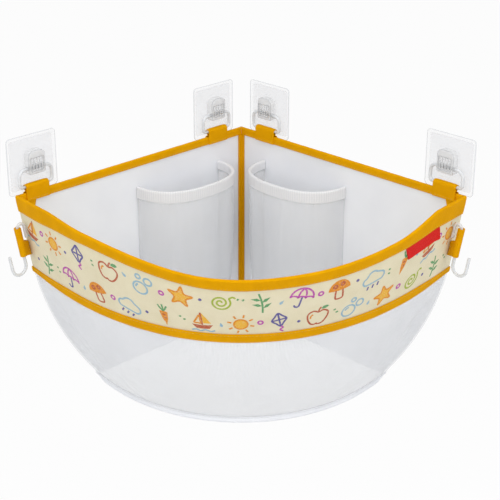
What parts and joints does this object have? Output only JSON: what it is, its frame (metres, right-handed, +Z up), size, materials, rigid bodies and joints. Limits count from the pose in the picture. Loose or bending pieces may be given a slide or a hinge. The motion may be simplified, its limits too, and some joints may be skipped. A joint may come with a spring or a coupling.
{
  "type": "corner bath toy organizer",
  "caption": "Quarter-round fabric corner bag with printed band, mesh skirt, bottle pockets and side hooks, hung by cloth tabs from adhesive wall hooks, for bath toys and bottles.",
  "frame": {"origin": "on the vertical line where the two room walls meet, at the height of the bag's rim edge at the walls", "axes": "+X runs along the right wall away from the corner, -Y runs along the left wall away from the corner, +Z is up; the walls are the planes y = 0 and x = 0"},
  "size_m": [0.3437, 0.3426, 0.296],
  "materials": {
    "mustard_tape": "woven polyester tape",
    "white_cloth": "coated white cloth",
    "printed_cloth": "cream cloth with a small print",
    "frosted_mesh": "fine white mesh, see-through",
    "red_label": "woven label, plain",
    "clear_plastic": "clear moulded plastic",
    "milky_plastic": "translucent moulded plastic"
  },
  "bodies": {
    "bag": {"back_panel_right": "white_cloth", "back_panel_left": "white_cloth", "front_band": "printed_cloth", "front_skirt": "frosted_mesh", "base_panel": "frosted_mesh", "front_rim_binding": "mustard_tape", "wall_rim_binding_right": "mustard_tape", "wall_rim_binding_left": "mustard_tape", "band_foot_binding": "mustard_tape", "rear_corner_binding": "mustard_tape", "base_piping": "white_cloth", "bottle_pocket_right": "frosted_mesh", "bottle_pocket_left": "frosted_mesh", "pocket_hem_right": "white_cloth", "pocket_hem_left": "white_cloth", "band_label": "red_label", "hook_film_inner_right": "milky_plastic", "hook_plate_inner_right": "clear_plastic", "hook_housing_inner_right": "clear_plastic", "hang_tab_inner_right": "mustard_tape", "hook_film_outer_right": "milky_plastic", "hook_plate_outer_right": "clear_plastic", "hook_housing_outer_right": "clear_plastic", "hang_tab_outer_right": "mustard_tape", "hook_film_inner_left": "milky_plastic", "hook_plate_inner_left": "clear_plastic", "hook_housing_inner_left": "clear_plastic", "hang_tab_inner_left": "mustard_tape", "hook_film_outer_left": "milky_plastic", "hook_plate_outer_left": "clear_plastic", "hook_housing_outer_left": "clear_plastic", "hang_tab_outer_left": "mustard_tape", "hook_sleeve_right": "mustard_tape", "hook_sleeve_left": "mustard_tape"},
    "bail_inner_right": {"hook_bail_inner_right": "milky_plastic"},
    "bail_outer_right": {"hook_bail_outer_right": "milky_plastic"},
    "bail_inner_left": {"hook_bail_inner_left": "milky_plastic"},
    "bail_outer_left": {"hook_bail_outer_left": "milky_plastic"},
    "side_hook_right": {"side_hook_right": "milky_plastic"},
    "side_hook_left": {"side_hook_left": "milky_plastic"}
  },
  "joints": [
    {"name": "bail_inner_right_swing", "type": "hinge", "parent": "bag", "child": "bail_inner_right", "pos_m": [0.046, -0.006, 0.026], "axis": [-1, 0, 0], "range_deg": [0, 20], "deforming": ["hang_tab_inner_right"]},
    {"name": "bail_outer_right_swing", "type": "hinge", "parent": "bag", "child": "bail_outer_right", "pos_m": [0.298, -0.006, 0.026], "axis": [-1, 0, 0], "range_deg": [0, 20], "deforming": ["hang_tab_outer_right"]},
    {"name": "bail_inner_left_swing", "type": "hinge", "parent": "bag", "child": "bail_inner_left", "pos_m": [0.006, -0.046, 0.026], "axis": [0, -1, 0], "range_deg": [0, 20], "deforming": ["hang_tab_inner_left"]},
    {"name": "bail_outer_left_swing", "type": "hinge", "parent": "bag", "child": "bail_outer_left", "pos_m": [0.006, -0.298, 0.026], "axis": [0, -1, 0], "range_deg": [0, 20], "deforming": ["hang_tab_outer_left"]},
    {"name": "side_hook_right_swivel", "type": "hinge", "parent": "bag", "child": "side_hook_right", "pos_m": [0.33054, -0.02, -0.02696], "axis": [0.1808, 0, 0.9835], "range_deg": [0, 60]},
    {"name": "side_hook_left_swivel", "type": "hinge", "parent": "bag", "child": "side_hook_left", "pos_m": [0.013, -0.32935, -0.02911], "axis": [0, 0.1787, -0.9839], "range_deg": [0, 38]}
  ]
}
